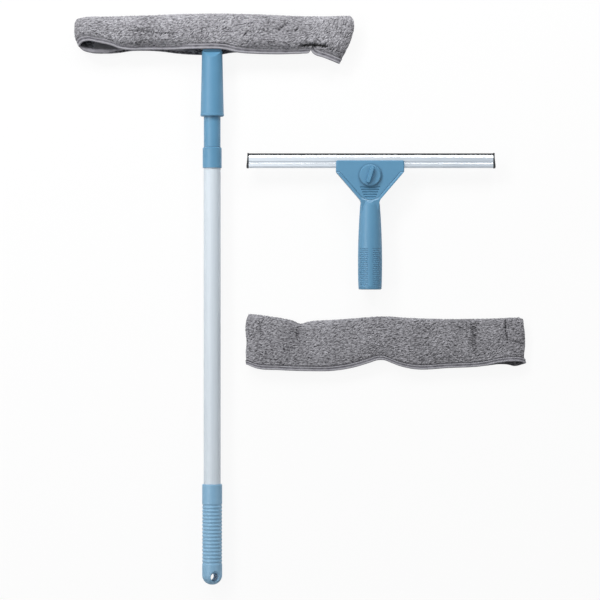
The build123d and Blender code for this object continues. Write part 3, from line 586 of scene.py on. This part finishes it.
def tufts(rng, rows, columns, comb):
    """Height from 0 to 1 of curled tufts, each a short ridge that lies about the way it is combed."""
    cell = TUFT_CELL / GRID_STEP
    row, column = np.meshgrid(np.arange(0, rows, cell), np.arange(0, columns, cell), indexing="ij")
    row = (row + rng.uniform(-TUFT_STRAY, TUFT_STRAY, row.shape) * cell).ravel()
    column = (column + rng.uniform(-TUFT_STRAY, TUFT_STRAY, column.shape) * cell).ravel()
    combed = comb + COMB_TURN * swell(rng, rows, columns, COMB_CELL)
    near_row = np.clip(row.round().astype(int), 0, rows - 1)
    near_column = np.clip(column.round().astype(int), 0, columns - 1)
    turn = combed[near_row, near_column] + rng.uniform(-TUFT_TURN, TUFT_TURN, row.size)
    tall = rng.uniform(TUFT_LOWEST, 1, row.size)
    reach = math.ceil(TUFT_HALF_LENGTH / GRID_STEP)
    aside = np.arange(-reach, reach + 1)
    rows_near = near_row[:, None, None] + aside[None, :, None]
    columns_near = near_column[:, None, None] + aside[None, None, :]
    down = (rows_near - row[:, None, None]) * GRID_STEP
    right = (columns_near - column[:, None, None]) * GRID_STEP
    cosine, sine = np.cos(turn)[:, None, None], np.sin(turn)[:, None, None]
    long_way = (right * cosine + down * sine) / TUFT_HALF_LENGTH
    short_way = (down * cosine - right * sine) / TUFT_HALF_WIDTH
    ridge = tall[:, None, None] * np.sqrt(np.clip(1 - long_way**2 - short_way**2, 0, None))
    height = np.zeros((rows, columns))
    spots = np.broadcast_arrays(np.clip(rows_near, 0, rows - 1), np.clip(columns_near, 0, columns - 1))
    np.maximum.at(height, tuple(spots), ridge)
    return height


def pile(sleeve, grid, crease_shade, rng):
    """Height of the pile from 0 to 1 and its shade, at each point of the grid, with painted shade between
    the tufts, towards the hem and in the creases.
    """
    rows, columns = grid.shape[:2]
    front = slice(len(crease_shade))
    row, column = np.arange(rows)[:, None], np.arange(columns)[None, :]
    front_step, back_step = (np.linalg.norm(grid[k] - grid[k + 1], axis=-1) for k in (0, -2))
    from_hem = np.minimum(row * front_step, row[::-1] * back_step)
    from_end = np.minimum(column, column[:, ::-1]) * GRID_STEP
    height = tufts(rng, rows, columns, sleeve["comb"])
    height *= 1 - PILE_PATCH_SHARE + PILE_PATCH_SHARE * swell(rng, rows, columns, PILE_PATCH_CELL)
    # Painted shade: the pile is darker where it is low, down between the tufts, scaled by the sleeve's
    # level of painted light.
    shade = (PILE_PIT_PAINTED_SHADE + (1 - PILE_PIT_PAINTED_SHADE) * height) * sleeve["tone_and_painted_light"]
    # Painted shade: darker towards the hem, where less light falls.
    shade *= HEM_PAINTED_SHADE + (1 - HEM_PAINTED_SHADE) * from_hem / from_hem.max()
    # Painted shade in the creases.
    shade[front] -= crease_shade
    past_tape = from_hem - 2 * sleeve["tape_half_width"]
    height *= ease(past_tape / PILE_HEM_FADE + 0.5) * ease(from_end / PILE_END_FADE)
    for x, drop, half_wide, half_high in sleeve["flat_spots"]:
        spot = ((grid[front, :, 0] - x) / half_wide)**2 + ((grid[front, :, 1] - drop) / half_high)**2
        height[front] *= 1 - FLAT_SPOT_LOSS * np.exp(-spot)
    return height, shade


def share_ends(ids):
    """Point numbers whose end columns are shared by the front and the back."""
    shared = ids.copy()
    half = len(ids) // 2
    for column in (0, -1):
        shared[half + 1:, column] = ids[:half, column][::-1]
    return shared


def round_mouth(front, back):
    """Values round the mouth: along the front hem to the right, then along the back hem to the left."""
    return np.concatenate([front, back[-2:0:-1]])


def make_cloth(sleeve, smooth, normal, thickness, height, shade):
    """The cloth with its pile outside, a lining inside and a rim between them round the mouth."""
    outer = smooth + normal * height[..., None] * PILE_HEIGHT * MM
    inner = smooth - normal * thickness[..., None] * MM
    ids = share_ends(np.arange(shade.size).reshape(shade.shape))
    inside = ids + shade.size
    loop, loop_inside = round_mouth(ids[0], ids[-1]), round_mouth(inside[0], inside[-1])
    rim = np.stack([np.roll(loop, -1), loop, loop_inside, np.roll(loop_inside, -1)], axis=-1)
    return mesh_object(
        sleeve["name"] + "_sleeve", np.concatenate([outer.reshape(-1, 3), inner.reshape(-1, 3)]),
        [grid_faces(ids), grid_faces(inside)[:, ::-1], rim],
        # The lining takes a dark shade, painted shade for the inside of the sleeve.
        np.concatenate([shade.ravel(), np.full(shade.size, LINING_PAINTED_SHADE)]), "pile_cloth",
    )


def round_smooth(values, reach):
    """Values averaged with their neighbours round a closed loop."""
    return sum(np.roll(values, k, axis=0) for k in range(-reach, reach + 1)) / (2 * reach + 1)


def make_binding(name, half_width, middle, normal, up):
    """The tape folded over the mouth's edge."""
    rings = np.stack([middle + up * across * half_width + normal * out * TAPE_HALF_THICKNESS * MM
                      for across, out, shade in TAPE_SECTION], axis=1)
    # Painted highlights and painted shade round the tape's section.
    shades = np.tile([shade for across, out, shade in TAPE_SECTION], len(middle))
    ids = np.arange(shades.size).reshape(rings.shape[:2])
    ids = np.concatenate([ids, ids[:1]])
    ids = np.concatenate([ids, ids[:, :1]], axis=1)
    return mesh_object(name + "_binding", rings.reshape(-1, 3), [grid_faces(ids)], shades, "binding_tape")


def make_stitches(name, half_width, middle, normal, up):
    """Short rounded threads lying on the tape, in a row near each edge."""
    run = run_along(middle)
    centres = np.arange(STITCH_PITCH, run[-1] / MM - STITCH_PITCH, STITCH_PITCH) * MM
    turns = np.linspace(0, 2 * math.pi, STITCH_SIDES, endpoint=False)
    ring = [(math.cos(turn), math.sin(turn)) for turn in turns]
    ids = np.arange(len(STITCH_STATIONS) * len(ring)).reshape(len(STITCH_STATIONS), len(ring))
    tube = grid_faces(np.concatenate([ids, ids[:, :1]], axis=1))
    places, faces, count = [], [], 0
    for row in STITCH_ROWS:
        surface = middle + up * row * half_width + normal * TAPE_HALF_THICKNESS * MM
        for centre in centres:
            for end, thick in STITCH_STATIONS:
                at = centre + end * STITCH_LENGTH / 2 * MM
                spot, out, side = (np.array([np.interp(at, run, line[:, k]) for k in range(3)])
                                   for line in (surface, normal, up))
                places += [spot + (out * b + side * a) * thick * STITCH_RADIUS * MM for a, b in ring]
            faces.append(tube + count)
            count += ids.size
    shades = np.full(count, STITCH_SHADE)
    return mesh_object(name + "_stitches", np.array(places), faces, shades, "binding_tape")


def make_sleeve(sleeve):
    """The sleeve's cloth, its binding and the stitches in it."""
    rng = np.random.default_rng(sleeve["seed"])
    name = sleeve["name"]
    grid, crease_shade = cloth_grid(sleeve, rng)
    smooth = in_frame(sleeve, grid)
    normal = outward(smooth)
    height, shade = pile(sleeve, grid, crease_shade, rng)
    thickness = np.minimum(CLOTH_THICKNESS, EDGE_THICKNESS + THICKNESS_RISE * np.abs(grid[..., 2]))
    cloth = make_cloth(sleeve, smooth, normal, thickness, height, shade)

    half_width = sleeve["tape_half_width"] * MM
    hem = round_mouth(smooth[0], smooth[-1])
    hem_normal = unit(round_smooth(round_mouth(normal[0], normal[-1]), reach=3))
    hem_up = unit(round_smooth(round_mouth(smooth[1] - smooth[0], smooth[-2] - smooth[-1]), reach=6))
    pucker = TAPE_PUCKER * round_smooth(rng.uniform(-1, 1, len(hem)), reach=5)[:, None]
    middle = round_smooth(hem, reach=1) + hem_up * (half_width - TAPE_PAST_HEM * MM)
    middle = middle + hem_normal * (TAPE_LIFT + pucker) * MM
    binding = make_binding(name, half_width, middle, hem_normal, hem_up)
    stitches = make_stitches(name, half_width, middle, hem_normal, hem_up)

    for piece in (cloth, binding, stitches):
        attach(piece, sleeve["body"])
    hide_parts(name + "_front_cloth", name + "_back_cloth")
    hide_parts(name + "_front_binding", name + "_back_binding")


# Stage

def make_floor():
    """A pale floor that looks white and keeps a faint shadow of the object."""
    made, tree, output = start_material("floor")
    paper = add(tree, "BsdfDiffuse", {"Color": (0.9, 0.9, 0.9, 1)}).outputs["BSDF"]
    glow = add(tree, "Emission", {"Color": (1, 1, 1, 1), "Strength": 1.0}).outputs["Emission"]
    seen = add(tree, "LightPath").outputs["Is Camera Ray"]
    share = add(tree, "Math", {0: seen, 1: FLOOR_GLOW}, operation="MULTIPLY").outputs["Value"]
    mixed = add(tree, "MixShader", {0: share, 1: paper, 2: glow}).outputs["Shader"]
    tree.links.new(mixed, output.inputs["Surface"])
    bpy.ops.mesh.primitive_plane_add(size=FLOOR_SIZE, location=(0, 0, -FLOOR_DROP))
    floor = bpy.context.object
    floor.name = "floor"
    floor.data.materials.append(made)


def background(tree, color, strength):
    """A world shader of one colour."""
    return add(tree, "Background", {"Color": color, "Strength": strength}).outputs["Background"]


def make_world():
    """White to look at, a studio brighter on the left to reflect, and a weaker light from all round."""
    world = bpy.data.worlds.new("studio")
    bpy.context.scene.world = world
    world.use_nodes = True
    tree = world.node_tree
    tree.nodes.clear()
    ways = add(tree, "SeparateXYZ", {"Vector": add(tree, "TexCoord").outputs["Generated"]}).outputs
    to_right = add(tree, "MapRange", {"Value": ways["X"], "From Min": -0.5, "From Max": 0.7})
    walls = ramp(tree, to_right.outputs["Result"], (0.0, (1.0, 1.0, 1.0)), (0.4, (0.37, 0.41, 0.45)),
                 (1.0, (0.28, 0.31, 0.34)))
    to_back = add(tree, "MapRange", {"Value": ways["Y"], "From Min": 0.3, "From Max": 0.85,
                                     "To Min": 1.6, "To Max": 0.6})
    path = add(tree, "LightPath").outputs
    rays = {0: path["Is Camera Ray"], 1: path["Is Transmission Ray"]}
    seen = add(tree, "Math", rays, operation="MAXIMUM").outputs["Value"]
    white = background(tree, (1, 1, 1, 1), 1.0)
    studio = background(tree, walls, to_back.outputs["Result"])
    light = background(tree, (1, 1, 1, 1), AMBIENT)
    mirrored = add(tree, "MixShader", {0: path["Is Glossy Ray"], 1: light, 2: studio}).outputs["Shader"]
    mixed = add(tree, "MixShader", {0: seen, 1: mirrored, 2: white}).outputs["Shader"]
    tree.links.new(mixed, add(tree, "OutputWorld").inputs["Surface"])


def area_light(name, place, target, size, power, shines):
    """A soft box, which may be kept out of reflections."""
    data = bpy.data.lights.new(name, "AREA")
    data.shape = "RECTANGLE"
    data.size, data.size_y = size
    data.energy = power
    lamp = bpy.data.objects.new(name, data)
    lamp.location = place
    lamp.rotation_euler = (Vector(target) - Vector(place)).to_track_quat("-Z", "Y").to_euler()
    lamp.visible_camera = False
    lamp.visible_glossy = shines
    bpy.context.scene.collection.objects.link(lamp)


def make_camera():
    """The camera that looks straight down, with the pole running up the picture."""
    data = bpy.data.cameras.new("camera")
    data.sensor_width = SENSOR
    data.lens = SENSOR * CAMERA_RISE / VIEW_WIDTH
    camera = bpy.data.objects.new("camera", data)
    camera.location = (*VIEW_CENTRE, VIEW_LEVEL + CAMERA_RISE)
    bpy.context.scene.collection.objects.link(camera)
    bpy.context.scene.camera = camera


dress_nodes()
for outline in (WASHER, SPARE):
    make_sleeve(outline)
make_floor()
make_world()
for light in LIGHTS:
    area_light(*light)
make_camera()
bpy.context.scene.view_settings.view_transform = "Standard"
